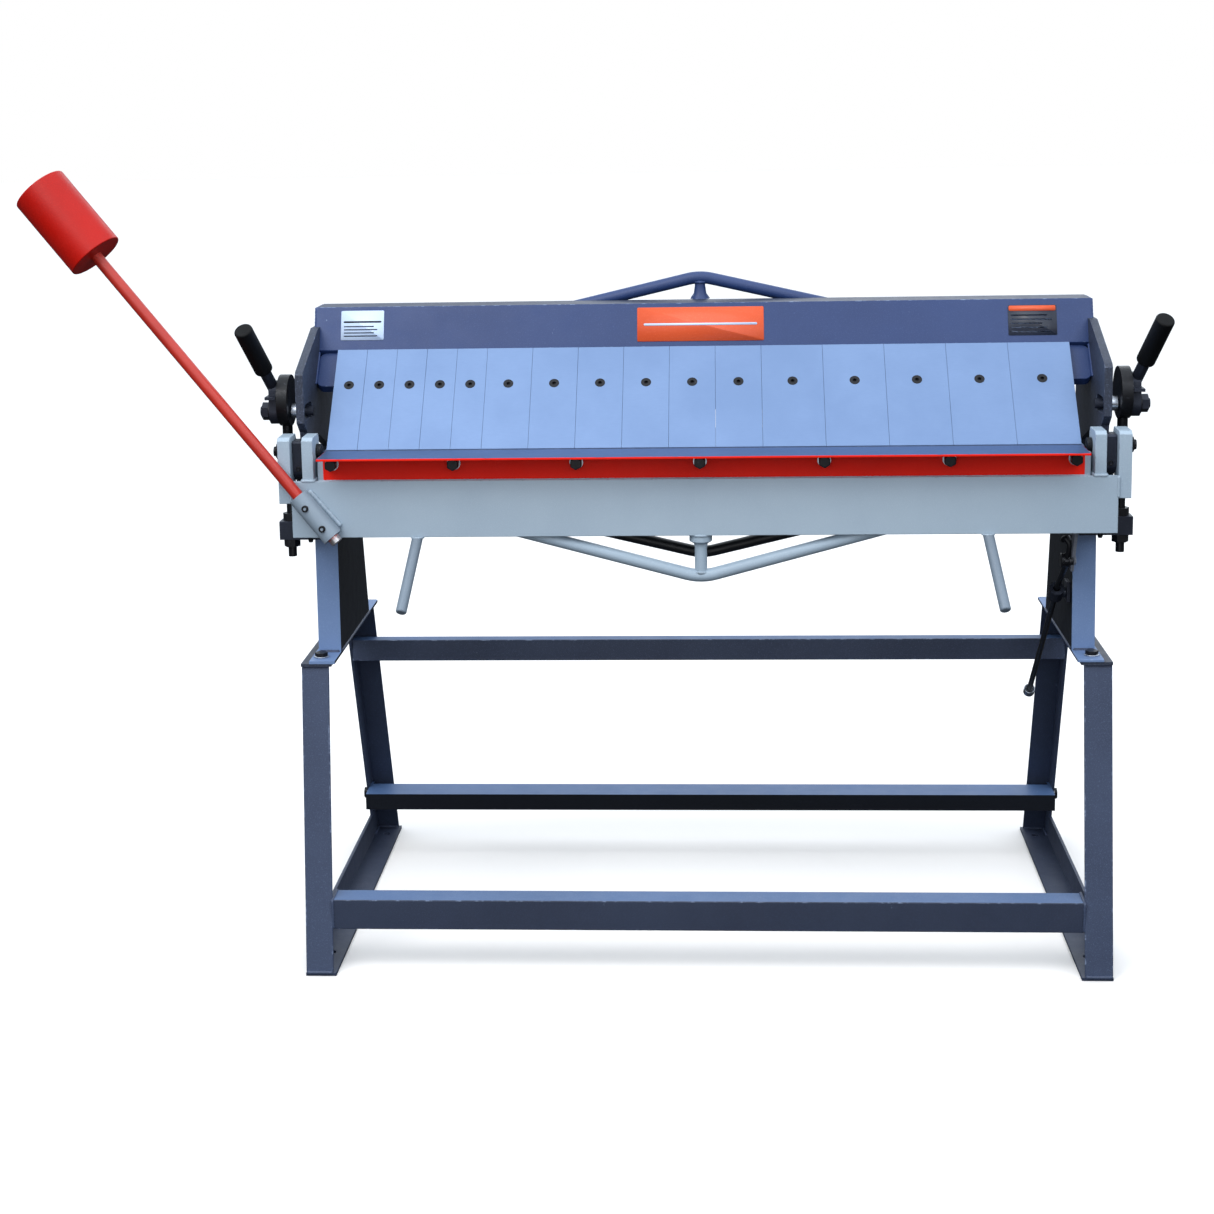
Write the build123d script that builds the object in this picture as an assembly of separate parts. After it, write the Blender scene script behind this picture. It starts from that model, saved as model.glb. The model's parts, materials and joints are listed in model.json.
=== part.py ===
"""Box-and-pan sheet metal brake on a welded angle-steel stand.

Frame: +X right, +Y back, +Z up, millimetres. The origin is on the floor,
at the centre of the four anchor holes in the foot rails.
"""
from build123d import *
from math import cos, sin, tan, radians, hypot
import os

# ---- driving dimensions -------------------------------------------------
INCH = 25.4
FINGER_INCHES = [2] * 5 + [3] * 6 + [4] * 5
BED_Z = 881.0            # height of the bed surface
HINGE_Y = -322.0         # the apron's hinge line lies in the bed surface
GAP = 0.5                # side gap between parts that move past each other
RUNNING = 0.06           # radial clearance of pins and shafts in their bores

# stand
STAND_HALF = 667.0       # outer face of the side rails and of the legs
STEEL = 5.0              # thickness of the angle steel
LEG = 46.0               # leg flange
RAIL = LEG + STEEL       # rail flange
STAND_TOP = 521.0
RAIL_FRONT, RAIL_BACK = -374.0, 334.0
ANCHOR_Y = 288.0
ANCHOR_X = STAND_HALF - 28.0
ANCHOR_R = 7.0
FRONT_LEG_LEAN = 63.0    # how far the front legs come back towards the top
BACK_LEG_TOP = 129.0     # rear face of the back legs at the top
FRONT_FOOT_Y = RAIL_FRONT + 2
BACK_FOOT_Y = RAIL_BACK - 2
BACK_RAKE = (BACK_FOOT_Y - BACK_LEG_TOP) / (STAND_TOP - 2 * STEEL)
FRONT_RAIL_Z = (76.0, 127.0)
UPPER_RAIL_Z = (406.0, 446.0)
SHELF_Z = (86.0, 117.0)
SHELF_BOLT = (263.0, 99.0)
FOOT_BOLT_X = 637.0
FOOT_BOLTS_Y = (-288.0, 90.0)
BOLT_R = 6.0

# bed
BED_HALF = sum(FINGER_INCHES) * INCH / 2
BED_BACK = 210.0         # bed table depth behind the hinge line
BED_PLATE = 16.0
BED_WEB = 92.0           # depth of the bed's front web
END_X = BED_HALF            # inner face of the bed end panels
END_T = 6.0
END_FLANGE = 38.0
TRUSS_R = 10.0
BED_TRUSS_SLOPE = 13.5
BED_TRUSS_Y = 190.0
BED_TRUSS_LOW = -215.0

# hinge
INNER_LUG = (624.0, 642.5)
HINGE_EAR = (643.0, 661.0)
OUTER_LUG = (661.5, 682.0)
LUG_R = 21.0
LUG_FRONT = -34.0
LUG_TOP = 27.0
HINGE_PIN_R = 8.0

# clamp
DISC_C = (62.0, 75.7)    # centre of the eccentric disc from the hinge line
SHAFT_A = (54.0, 58.5)   # clamp shaft axis from the hinge line
DISC_R = 30.0
RING_R = 42.5
RING_X = (675.0, 693.0)
SHAFT_R = 8.0
HUB_X = (693.5, 708.0)
NUT_END = 722.0
EAR_Z = (81.5, 86.5)      # clamping lip of the hub
STUD_X = 684.0
STUD_R = 7.0
BRACKET_Z = (-158.0, -127.0)
HANDLE_ROOT = (54.0, 92.0)
HANDLE_VECTOR = (28.0, -90.0, 112.0)
GRIP_LENGTH = 97.0
GRIP_R = 15.2
HANDLE_R = 9.6

# clamp beam
PLATE_X = (643.0, 656.0)
PLATE_FRONT = 2.0        # front edge of the end plates behind the hinge line
PANEL_HALF = 650.0
PIVOT = (250.0, -160.0)  # rear pivot of the beam from the hinge line
PIVOT_R = 10.0
NOSE = (6.0, 0.4)        # tip of the fingers
FINGER_SLOPE = 48.0
FINGER_LENGTH = 200.0
FINGER_THICK = 16.0
BAR_THICK = 18.0
BAR_START = 95.0
BAR_END_START = 137.0    # the bar is shallower beyond the fingers
BAR_TOP = 205.0
SCREW_AT = 128.0
PANEL_TOP = (174.0, 218.0)
PANEL_BACK = 240.0
PANEL_T = 6.0
PANEL_DEEP = 8.0         # the panel's lip behind the fingers' face
BEAM_TRUSS_Y = 251.5
BEAM_TRUSS_TOP = 256.5
BEAM_TRUSS_SLOPE = 13.0

# apron
APRON_FACE = -36.0
APRON_T = 8.0
APRON_TOP, APRON_LOW = -44.0, -137.0
APRON_SHELF = 620.0      # half width of the shelf behind the face plate
APRON_TRUSS_Y = -17.5
APRON_TRUSS_LOW = -209.5
APRON_TRUSS_SLOPE = 15.0
LEDGE_FRONT = -82.0      # front edge of the bending bar
BAR_BOLTS = 7
BAR_BOLT_PITCH = 198.2
LEDGE_T = 3.5
PULL_X = 458.0
PULL_VECTOR = (17.0, -90.0, -104.0)
PULL_R = 8.75

# counterweight
ARM_R = 9.5
ARM_LENGTH = 752.0
ARM_VECTOR = (-474.0, 88.3, 559.0)
SOCKET_AT = (-620.8, -57.0, -95.0)
SOCKET_R = 17.0
SOCKET_ENDS = (-47.0, 39.0)
SOCKET_SCREWS = (-27.0, 15.5)
SOCKET_SCREW_R = 5.0
ARM_TAIL = 58.0          # arm length below the middle of the socket
WEIGHT_R = 46.0
WEIGHT_LENGTH = 144.0

# bend-angle stop
STOP_X = 588.0
STOP_PIN = (20.0, -193.0)
STOP_PIVOT = (100.0, -265.0)
STOP_ROD_R = 6.0
STOP_TAIL = 390.0        # rod length behind the swivel block
COLLAR_R = 14.0


# ---- helpers ------------------------------------------------------------
def at(point):
    """Turn (back, up) from the hinge line into (Y, Z) in the frame."""
    return (HINGE_Y + point[0], BED_Z + point[1])


def on(points):
    return [at(point) for point in points]


def box(x, y, z):
    """Box from three (low, high) pairs in the frame."""
    size = Box(x[1] - x[0], y[1] - y[0], z[1] - z[0])
    return Pos((x[0] + x[1]) / 2, (y[0] + y[1]) / 2, (z[0] + z[1]) / 2) * size


def box_at(x, y, z):
    """Box whose y and z are measured from the hinge line."""
    return box(x, (HINGE_Y + y[0], HINGE_Y + y[1]), (BED_Z + z[0], BED_Z + z[1]))


def prism(outline, x0, x1):
    """Extrude a (Y, Z) outline along X."""
    face = Plane.YZ.offset(x0) * make_face(Polyline(*outline, close=True))
    return extrude(face, x1 - x0)


def round_x(centre, radius, x0, x1):
    """Cylinder along X about a point measured from the hinge line."""
    y, z = at(centre)
    return extrude(Plane((x0, y, z), z_dir=(1, 0, 0)) * Circle(radius), x1 - x0)


def rod(start, end, radius):
    start, end = Vector(*start), Vector(*end)
    plane = Plane(start, z_dir=end - start)
    return extrude(plane * Circle(radius), (end - start).length)


def hex_rod(start, end, across_flats):
    start, end = Vector(*start), Vector(*end)
    plane = Plane(start, z_dir=end - start)
    return extrude(plane * RegularPolygon(across_flats / 2, 6, major_radius=False), (end - start).length)


def left(shape):
    return mirror(shape, about=Plane.YZ)


def pair(shape):
    return [left(shape), shape]


def slope_point(along, deep):
    """Point on the finger slope: along it from the nose, and deep behind its face."""
    c, s = cos(radians(FINGER_SLOPE)), sin(radians(FINGER_SLOPE))
    return (NOSE[0] + along * c + deep * s, NOSE[1] + along * s - deep * c)


def save(name, *solids):
    shape = solids[0] if len(solids) == 1 else Compound(children=list(solids))
    export_step(shape, f"parts/{name}.step")


# ---- stand --------------------------------------------------------------
def rail_wall(low, high):
    """Upright flange of a side rail, ending against the legs, whose outer faces it is flush with."""
    return prism([(front_leg_y(low) + LEG, low), (back_leg_y(low) - LEG, low),
                  (back_leg_y(high) - LEG, high), (front_leg_y(high) + LEG, high)],
                 STAND_HALF - STEEL, STAND_HALF)


def foot_rail():
    wall = rail_wall(0, RAIL)
    floor = box((STAND_HALF - RAIL, STAND_HALF), (RAIL_FRONT, RAIL_BACK), (0, STEEL))
    rail = wall + floor
    for y in (-ANCHOR_Y, ANCHOR_Y):
        rail -= rod((ANCHOR_X, y, -1), (ANCHOR_X, y, STEEL + 1), ANCHOR_R)
    return rail


def leg(foot_y, top_y, facing):
    """Angle-steel leg with its corner outside; facing is +1 at the back, -1 at the front."""
    low, high = STEEL, STAND_TOP - STEEL
    inner = -facing * LEG
    wall = facing * -STEEL
    outside = STAND_HALF
    side = prism([(foot_y, low), (foot_y + inner, low), (top_y + inner, high), (top_y, high)],
                 outside - STEEL, outside)
    face = prism([(foot_y, low), (foot_y + wall, low), (top_y + wall, high), (top_y, high)],
                 outside - LEG, outside)
    return side + face


def back_leg():
    """Back leg with the hole of the low rear rail's bolt."""
    outside = STAND_HALF
    hole = rod((outside - STEEL - 1, *SHELF_BOLT), (outside + 1, *SHELF_BOLT), BOLT_R + 0.3)
    return leg(BACK_FOOT_Y, BACK_LEG_TOP, 1) - hole


def top_rail():
    y = (FRONT_FOOT_Y + FRONT_LEG_LEAN - STEEL, BACK_LEG_TOP + STEEL)
    wall = rail_wall(STAND_TOP - RAIL, STAND_TOP - STEEL)
    top = box((STAND_HALF - RAIL, STAND_HALF), y, (STAND_TOP - STEEL, STAND_TOP))
    rail = wall + top
    for y_bolt in FOOT_BOLTS_Y:
        rail -= rod((FOOT_BOLT_X, y_bolt, STAND_TOP - 9), (FOOT_BOLT_X, y_bolt, STAND_TOP + 1), BOLT_R + 0.3)
    return rail


def back_leg_y(z):
    """Rear face of the back legs at height z."""
    return BACK_FOOT_Y - BACK_RAKE * (z - STEEL)


def front_leg_y(z):
    """Front face of the front legs at height z."""
    return FRONT_FOOT_Y + FRONT_LEG_LEAN * (z - STEEL) / (STAND_TOP - 2 * STEEL)


def front_rail():
    half = STAND_HALF - LEG
    y0 = front_leg_y(sum(FRONT_RAIL_Z) / 2) + 1
    low, high = FRONT_RAIL_Z
    face = box((-half, half), (y0, y0 + STEEL), (low, high))
    top = box((-half, half), (y0, y0 + LEG), (high - STEEL, high))
    return face + top


def rear_shelf_rail():
    """Low rear rail: folded channel with an end tab bolted to each back leg."""
    inside = STAND_HALF - STEEL
    low, high = SHELF_Z
    rail = box((-inside, inside), (200, 262), (high - STEEL, high))
    rail += box((-inside, inside), (200, 200 + STEEL), (low, high))
    for side in (-1, 1):
        tab = box(sorted((side * inside, side * (inside - STEEL))), (200, 276), (low, high))
        hole = rod((side * (inside + 1), *SHELF_BOLT), (side * (inside - STEEL - 1), *SHELF_BOLT), BOLT_R + 0.3)
        rail = rail + tab - hole
    return rail


def rear_upper_rail():
    inside = STAND_HALF - STEEL
    low, high = UPPER_RAIL_Z
    y0 = back_leg_y((low + high) / 2) - LEG
    face = box((-inside, inside), (y0, y0 + STEEL), (low, high))
    top = box((-inside, inside), (y0, y0 + 28), (high - STEEL, high))
    return face + top


def stand_bolts():
    """Bolts of the bed feet and of the low rear rail, on the right side."""
    bolts = []
    foot_top = STAND_TOP + STEEL
    rail_under = STAND_TOP - STEEL
    for y in FOOT_BOLTS_Y:
        bolt = hex_rod((FOOT_BOLT_X, y, foot_top), (FOOT_BOLT_X, y, foot_top + 8), 19)
        bolt += rod((FOOT_BOLT_X, y, rail_under - 14), (FOOT_BOLT_X, y, foot_top), BOLT_R)
        bolt += hex_rod((FOOT_BOLT_X, y, rail_under - 10), (FOOT_BOLT_X, y, rail_under), 19)
        bolts.append(bolt)
    y, z = SHELF_BOLT
    outside = STAND_HALF
    tab = outside - 2 * STEEL
    bolt = hex_rod((outside, y, z), (outside + 8, y, z), 19)
    bolt += rod((tab - 13, y, z), (outside, y, z), BOLT_R)
    bolt += hex_rod((tab - 10, y, z), (tab, y, z), 19)
    bolts.append(bolt)
    return bolts


# ---- bed ----------------------------------------------------------------
BED_FRONT = 2.0          # bed's front face behind the hinge line
WEB_T = 12.0
SOLE_Y = (-316.0, 112.0)
END_FRONT_Y = (-250.0, -256.0)   # front of the end panels at the shoulder and at the foot


def bed_end():
    """Bent end panel: web against the end of the bed, front flange and foot plate."""
    foot = STAND_TOP
    web_front = HINGE_Y + BED_FRONT + WEB_T
    shoulder = BED_Z - 160
    front, front_low = END_FRONT_Y
    web = prism([(front_low, foot), (23, foot), (-11, foot + 138), (-34, BED_Z - 130),
                 (HINGE_Y + BED_BACK, BED_Z - 3), (web_front, BED_Z - 3), (web_front, BED_Z - BED_WEB - 6),
                 (front, shoulder)], END_X, END_X + END_T)
    flange = prism([(front_low, foot), (front_low + STEEL, foot), (front + STEEL, shoulder),
                    (front, shoulder)], END_X, END_X + END_FLANGE)
    sole = box((END_X, END_X + END_FLANGE + 5), SOLE_Y, (foot, foot + STEEL))
    panel = web + flange + sole
    for y in FOOT_BOLTS_Y:
        panel -= rod((FOOT_BOLT_X, y, foot - 1), (FOOT_BOLT_X, y, foot + STEEL + 1), BOLT_R + 0.3)
    return panel


def bed_table():
    """Lower jaw: a thick top plate with a front web."""
    top = box_at((-BED_HALF, BED_HALF), (BED_FRONT, BED_BACK), (-BED_PLATE, 0))
    web = box_at((-BED_HALF, BED_HALF), (BED_FRONT, BED_FRONT + WEB_T), (-BED_WEB, -BED_PLATE))
    return top + web


def truss(y, low, slope, end_x, radius, rising=1):
    """Two sloping rods that meet on the centre plane; rising is -1 where they fall outwards."""
    yc, zc = at((y, low))
    reach = end_x + 60
    rise = rising * reach * tan(radians(slope))
    whole = rod((0, yc, zc), (reach, yc, zc + rise), radius)
    whole += rod((-60, yc, zc - rise * 60 / reach), (0, yc, zc), radius)
    right = whole & box((0, end_x), (yc - 30, yc + 30), (0, 1400))
    return pair(right)


def bed_truss():
    rods = truss(BED_TRUSS_Y, BED_TRUSS_LOW, BED_TRUSS_SLOPE, END_X, TRUSS_R)
    y, z = at((BED_TRUSS_Y, BED_TRUSS_LOW))
    post = rod((0, y, z), (0, y, BED_Z - BED_PLATE), TRUSS_R)
    return rods + [post - rods[0] - rods[1]]


def hinge_block():
    """Block on the bed end panel with the ear that carries the hinge pin."""
    x0 = END_X + END_T
    block = box_at((x0, HINGE_EAR[1]), (36, 72), (-70, -BED_PLATE - 2))
    ear = prism(on([(-18, 16), (-15, 19), (12, 19), (36, -18), (36, -70), (0, -45), (-16, -29)]), *HINGE_EAR)
    ear += round_x((0, -29), 16, *HINGE_EAR)
    return block + ear - round_x((0, 0), HINGE_PIN_R + RUNNING, HINGE_EAR[0] - 1, HINGE_EAR[1] + 1)


def link_bracket():
    y = (DISC_C[0] - 14, DISC_C[0] + 14)
    block = box_at((END_X + END_T, 702), y, BRACKET_Z)
    yc, zc = at((DISC_C[0], 0))
    hole = rod((STUD_X, yc, zc + BRACKET_Z[0] - 1), (STUD_X, yc, zc + BRACKET_Z[1] + 1), STUD_R + 0.3)
    return block - hole


def link():
    """Clamp link: ring round the eccentric disc, neck and threaded stud."""
    ring = round_x(DISC_C, RING_R, *RING_X)
    ring -= round_x(DISC_C, DISC_R + RUNNING, RING_X[0] - 1, RING_X[1] + 1)
    y, z = at((DISC_C[0], 0))
    neck_top = z + DISC_C[1] - DISC_R - 5
    neck = rod((STUD_X, y, z - 20), (STUD_X, y, neck_top), 8.5)
    return ring + neck + rod((STUD_X, y, z - 188), (STUD_X, y, z - 20), STUD_R)


def link_nuts():
    y, z = at((DISC_C[0], 0))
    nuts = []
    for low, high in ((BRACKET_Z[1], BRACKET_Z[1] + 13), (BRACKET_Z[0] - 13, BRACKET_Z[0])):
        nut = hex_rod((STUD_X, y, z + low), (STUD_X, y, z + high), 24)
        nuts.append(nut - rod((STUD_X, y, z + low - 1), (STUD_X, y, z + high + 1), STUD_R))
    return nuts


def pivot_bracket():
    y, z = PIVOT
    block = box_at((END_X + END_T, PLATE_X[0] - 4), (y - 24, y + 24), (z - 24, z + 24))
    return block - round_x(PIVOT, PIVOT_R, PLATE_X[0] - 22, PLATE_X[0] + 1)


def pivot_pin():
    pin = round_x(PIVOT, PIVOT_R, PLATE_X[0] - 22, PLATE_X[1] + GAP)
    return pin + round_x(PIVOT, 15, PLATE_X[1] + GAP, PLATE_X[1] + 7)


def stop_mount():
    y, z = STOP_PIVOT
    mount = box_at((END_X - 6, END_X), (y - 14, y + 14), (z - 14, z + 20))
    return mount - round_x(STOP_PIVOT, 5 + RUNNING, END_X - 7, END_X + 1)


# ---- clamp beam ---------------------------------------------------------
def finger(x0, x1):
    """One box-and-pan finger with the countersunk hole of its screw."""
    back = slope_point(0, FINGER_THICK)
    sole = back[0] + (NOSE[1] - back[1]) / tan(radians(FINGER_SLOPE))
    outline = [NOSE, (sole, NOSE[1]), slope_point(FINGER_LENGTH, FINGER_THICK), slope_point(FINGER_LENGTH, 0)]
    body = prism(on(outline), x0, x1)
    return body - screw((x0 + x1) / 2, 0.0)


def screw(x, inset):
    """Countersunk screw through a finger; inset lowers its head below the face."""
    y0, z0 = at(slope_point(SCREW_AT, inset))
    y1, z1 = at(slope_point(SCREW_AT, FINGER_THICK))
    plane = Plane((x, y0, z0), z_dir=(0, y1 - y0, z1 - z0))
    head = extrude(plane * Circle(8.5), 6, taper=30)
    shank = rod((x, y0, z0), (x, y1, z1), 4.5)
    return head + shank


def finger_screw(x):
    y0, z0 = at(slope_point(SCREW_AT, 0))
    y1, z1 = at(slope_point(SCREW_AT, 4))
    return screw(x, 0.0) - hex_rod((x, y0, z0), (x, y1, z1), 6)


def slope_box(half, along, deep, corner=0.0):
    """Plate parallel to the fingers, half its width to each side, with rounded corners if asked."""
    y, z = at(slope_point(sum(along) / 2, deep[0]))
    behind = slope_point(0, 1)
    plane = Plane((0, y, z), x_dir=(1, 0, 0), z_dir=(0, behind[0] - NOSE[0], behind[1] - NOSE[1]))
    size = (2 * half, along[1] - along[0])
    outline = RectangleRounded(*size, corner) if corner else Rectangle(*size)
    return extrude(plane * outline, deep[1] - deep[0])


def finger_bar():
    """Bar that carries the fingers, shallower where it runs out to the end plates."""
    deep = (FINGER_THICK, FINGER_THICK + BAR_THICK)
    ends = slope_box(PLATE_X[0], (BAR_END_START, BAR_TOP), deep, 12)
    return ends + slope_box(BED_HALF - 9, (BAR_START, BAR_TOP - 12), deep)


def panel_outline():
    low = slope_point(BAR_TOP, PANEL_DEEP)
    low_back = slope_point(BAR_TOP, FINGER_THICK + BAR_THICK)
    return on([low, PANEL_TOP, (PANEL_BACK, PANEL_TOP[1]), (PANEL_BACK, low_back[1]), low_back])


def beam_panel():
    """Folded box panel of the clamp beam."""
    skin = make_face(Polyline(*panel_outline(), close=True))
    core = offset(skin, -PANEL_T, kind=Kind.INTERSECTION)
    section = Plane.YZ.offset(-PANEL_HALF) * (skin - core)
    return extrude(section, 2 * PANEL_HALF)


def beam_end():
    """End plate: front nose, slot for the clamp shaft and the arm down to the rear pivot."""
    y, z = PIVOT
    outline = [(42, 8), (26, 16), (24, 27), (PLATE_FRONT, 45), (PLATE_FRONT, 124), (8, 130), (146, 186),
               (232, 186), (264, 150), (y + 26, z), (y - 26, z), (204, -24), (120, 8)]
    plate = prism(on(outline), *PLATE_X) + round_x(PIVOT, 26, *PLATE_X)
    plate -= prism(panel_outline(), PLATE_X[0] - 1, PANEL_HALF)
    slot = box_at((PLATE_X[0] - 1, PLATE_X[1] + 1), (SHAFT_A[0] - 35, SHAFT_A[0] + 2),
                  (SHAFT_A[1] - SHAFT_R - 2.5, SHAFT_A[1] + SHAFT_R + 7.5))
    for y_end in (SHAFT_A[0] - 35, SHAFT_A[0] + 2):
        slot += round_x((y_end, SHAFT_A[1] + 2.5), SHAFT_R + 5, PLATE_X[0] - 1, PLATE_X[1] + 1)
    bore = round_x(PIVOT, PIVOT_R + RUNNING, PLATE_X[0] - 1, PLATE_X[1] + 1)
    return plate - slot - bore


def beam_truss(panel):
    rods = truss(BEAM_TRUSS_Y, BEAM_TRUSS_TOP, BEAM_TRUSS_SLOPE, PLATE_X[0], TRUSS_R + 0.5, rising=-1)
    y, z = at((BEAM_TRUSS_Y, BEAM_TRUSS_TOP))
    post = rod((0, y, z - 60), (0, y, z), 8.5)
    foot = Plane((0, y, z - 60)) * Circle(15)
    post += extrude(foot, 22, taper=16)
    return rods + [post - rods[0] - rods[1] - panel]


# ---- clamp handles ------------------------------------------------------
def eccentric():
    """Eccentric disc, clamp shaft and hub in one casting."""
    body = round_x(DISC_C, DISC_R, RING_X[0], HUB_X[0])
    body += round_x(SHAFT_A, SHAFT_R, PLATE_X[0] - 6, NUT_END + 3)
    body += round_x(SHAFT_A, 21, *HUB_X)
    body += round_x(HANDLE_ROOT, 18, *HUB_X)
    sides = [(SHAFT_A[0] - 21, SHAFT_A[1]), (SHAFT_A[0] + 21, SHAFT_A[1]),
             (HANDLE_ROOT[0] + 18, HANDLE_ROOT[1]), (HANDLE_ROOT[0] - 18, HANDLE_ROOT[1])]
    lip = box_at((HUB_X[0], HUB_X[1] + 3), (SHAFT_A[0] - 35, SHAFT_A[0] + 10), EAR_Z)
    return body + prism(on(sides), *HUB_X) + lip


def shaft_nut():
    y, z = at(SHAFT_A)
    nut = hex_rod((HUB_X[1], y, z), (NUT_END, y, z), 26)
    return nut - round_x(SHAFT_A, SHAFT_R, HUB_X[1] - 1, NUT_END + 1)


def along_handle(distance):
    y, z = at(HANDLE_ROOT)
    root = Vector((HUB_X[0] + HUB_X[1]) / 2, y, z)
    return root + Vector(*HANDLE_VECTOR).normalized() * distance


def clamp_handle(hub):
    reach = Vector(*HANDLE_VECTOR).length
    handle = rod(along_handle(2), along_handle(reach - 12), HANDLE_R)
    outside = box((HUB_X[0], 900), (-600, 0), (BED_Z, 1300))
    return (handle & outside) - hub


def handle_grip(handle):
    reach = Vector(*HANDLE_VECTOR).length
    grip = rod(along_handle(reach - GRIP_LENGTH), along_handle(reach), GRIP_R)
    ends = grip.edges().filter_by(GeomType.CIRCLE)
    return fillet(ends, 4) - handle


# ---- apron --------------------------------------------------------------
def apron_beam():
    """Apron section: face plate, shelf and the upright that backs the bending bar."""
    half = OUTER_LUG[0]
    face = (APRON_FACE, APRON_FACE + APRON_T)
    plate = box_at((-half, half), face, (APRON_LOW, APRON_TOP))
    width = (-APRON_SHELF, APRON_SHELF)
    shelf = box_at(width, (APRON_FACE, -11), (APRON_TOP - APRON_T, APRON_TOP))
    upright = box_at(width, (-21, -11), (APRON_TOP, -8))
    return plate + shelf + upright


def lug(x0, x1, lower):
    """Fork lug: square head round the hinge line on top of its lower outline."""
    head = [(LUG_FRONT, LUG_TOP - 5), (LUG_FRONT + 7, LUG_TOP), (LUG_R - 5, LUG_TOP), (LUG_R, LUG_TOP - 8),
            (LUG_R, -22)]
    return prism(on(head + lower), x0, x1) - round_x((0, 0), HINGE_PIN_R, x0 - 1, x1 + 1)


def apron_lugs():
    """Inner and outer fork lugs of the right end."""
    back = APRON_FACE + APRON_T
    inner = lug(*INNER_LUG, [(-8, -95), (back, -95), (back, APRON_TOP), (LUG_FRONT, APRON_TOP)])
    outer = lug(*OUTER_LUG, [(-10, -81), (LUG_FRONT, -81)])
    return [inner, outer]


def bending_bar():
    """Folded bending bar: ledge level with the bed and a front flange."""
    ledge = box_at((-BED_HALF, BED_HALF), (LEDGE_FRONT, -0.5), (-LEDGE_T, 0))
    flange = box_at((-BED_HALF, BED_HALF), (-27, -21), (APRON_TOP, -LEDGE_T))
    return ledge + flange


BAR_BOLT_Z = -17.0


def bending_bar_bolts():
    bolts = []
    for number in range(BAR_BOLTS):
        x = (number - (BAR_BOLTS - 1) / 2) * BAR_BOLT_PITCH
        y, z = at((0, BAR_BOLT_Z))
        bolts.append(hex_rod((x, y - 45, z), (x, y - 27, z), 18))
    return bolts


def apron_truss():
    rods = truss(APRON_TRUSS_Y, APRON_TRUSS_LOW, APRON_TRUSS_SLOPE, 539, TRUSS_R + 0.5)
    y, z = at((APRON_TRUSS_Y, APRON_TRUSS_LOW))
    collar_top = BED_Z + APRON_LOW
    post = rod((0, y, z), (0, y, collar_top - 12), TRUSS_R)
    collar = rod((0, y, collar_top - 12), (0, y, collar_top), 18.5)
    return rods + [post + collar - rods[0] - rods[1]]


def pull_handle(apron):
    y, z = at((APRON_FACE + APRON_T / 2, APRON_LOW))
    start = Vector(PULL_X, y, z)
    way = Vector(*PULL_VECTOR)
    handle = rod(start - way.normalized() * 8, start + way, PULL_R)
    tip = handle.edges().filter_by(GeomType.CIRCLE).sort_by(Axis.Z)[0]
    below = box((0, 900), (-700, HINGE_Y + APRON_FACE + APRON_T), (0, z + 1))
    return (fillet(tip, 3) & below) - apron


def hinge_pin():
    """Hinge pin with its head on the inner lug and its nut on the outer lug."""
    pin = round_x((0, 0), HINGE_PIN_R, INNER_LUG[0] - 8, OUTER_LUG[1] + 12)
    y, z = at((0, 0))
    head = round_x((0, 0), 12, INNER_LUG[0] - 8, INNER_LUG[0])
    nut = hex_rod((OUTER_LUG[1], y, z), (OUTER_LUG[1] + 8, y, z), 22)
    return pin + head + nut


def stop_bracket():
    """Plate on the back of the apron that drives the stop rod."""
    back = APRON_FACE + APRON_T
    outline = [(back, -80), (back, -137), (8, -209), (30, -207), (31, -181), (12, -170), (-6, -137), (-12, -80)]
    plate = prism(on(outline), STOP_X + 8, STOP_X + 13)
    y, z = at(STOP_PIN)
    return plate + hex_rod((STOP_X + 13, y, z), (STOP_X + 18, y, z), 13)


# ---- counterweight ------------------------------------------------------
ARM_WAY = Vector(*ARM_VECTOR).normalized()


def along_arm(distance):
    """Point on the arm's axis, counted upwards from the middle of the socket."""
    y, z = at(SOCKET_AT[1:])
    return Vector(SOCKET_AT[0], y, z) + ARM_WAY * distance


def arm_socket():
    """Socket tube, the saddle that joins it to the apron and two set screws."""
    low, high = SOCKET_ENDS
    x, y, z = SOCKET_AT
    forward = Vector(0, -1, 0)
    out = (forward - ARM_WAY * forward.dot(ARM_WAY)).normalized()
    saddle = extrude(Plane(along_arm(low + 4) - out * 12, x_dir=out, z_dir=ARM_WAY) * Rectangle(34, 26),
                     high - low - 8)
    socket = rod(along_arm(low), along_arm(high), SOCKET_R) + saddle
    socket -= box_at((x - 100, x + 100), (APRON_FACE, 0), (z - 90, z + 90))
    socket -= rod(along_arm(low - 20), along_arm(high + 20), ARM_R + RUNNING)
    screws = []
    for place in SOCKET_SCREWS:
        stem = rod(along_arm(place) + out * (ARM_R + 1), along_arm(place) + out * (SOCKET_R + 2), SOCKET_SCREW_R)
        socket -= stem
        screws.append(stem)
    return [socket] + screws


def counterweight_arm():
    return rod(along_arm(-ARM_TAIL), along_arm(ARM_LENGTH - ARM_TAIL - 10), ARM_R)


def counterweight(arm):
    top = ARM_LENGTH - ARM_TAIL
    weight = rod(along_arm(top - WEIGHT_LENGTH), along_arm(top), WEIGHT_R)
    rims = weight.edges().filter_by(GeomType.CIRCLE)
    return fillet(rims, 2) - arm


# ---- bend-angle stop ----------------------------------------------------
def stop_way():
    back = STOP_PIVOT[0] - STOP_PIN[0]
    up = STOP_PIVOT[1] - STOP_PIN[1]
    length = hypot(back, up)
    return (back / length, up / length, length)


def stop_point(distance):
    """Point on the stop rod, counted from its front end towards the back."""
    back, up, _ = stop_way()
    y, z = at((STOP_PIN[0] + back * distance, STOP_PIN[1] + up * distance))
    return (STOP_X, y, z)


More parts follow.
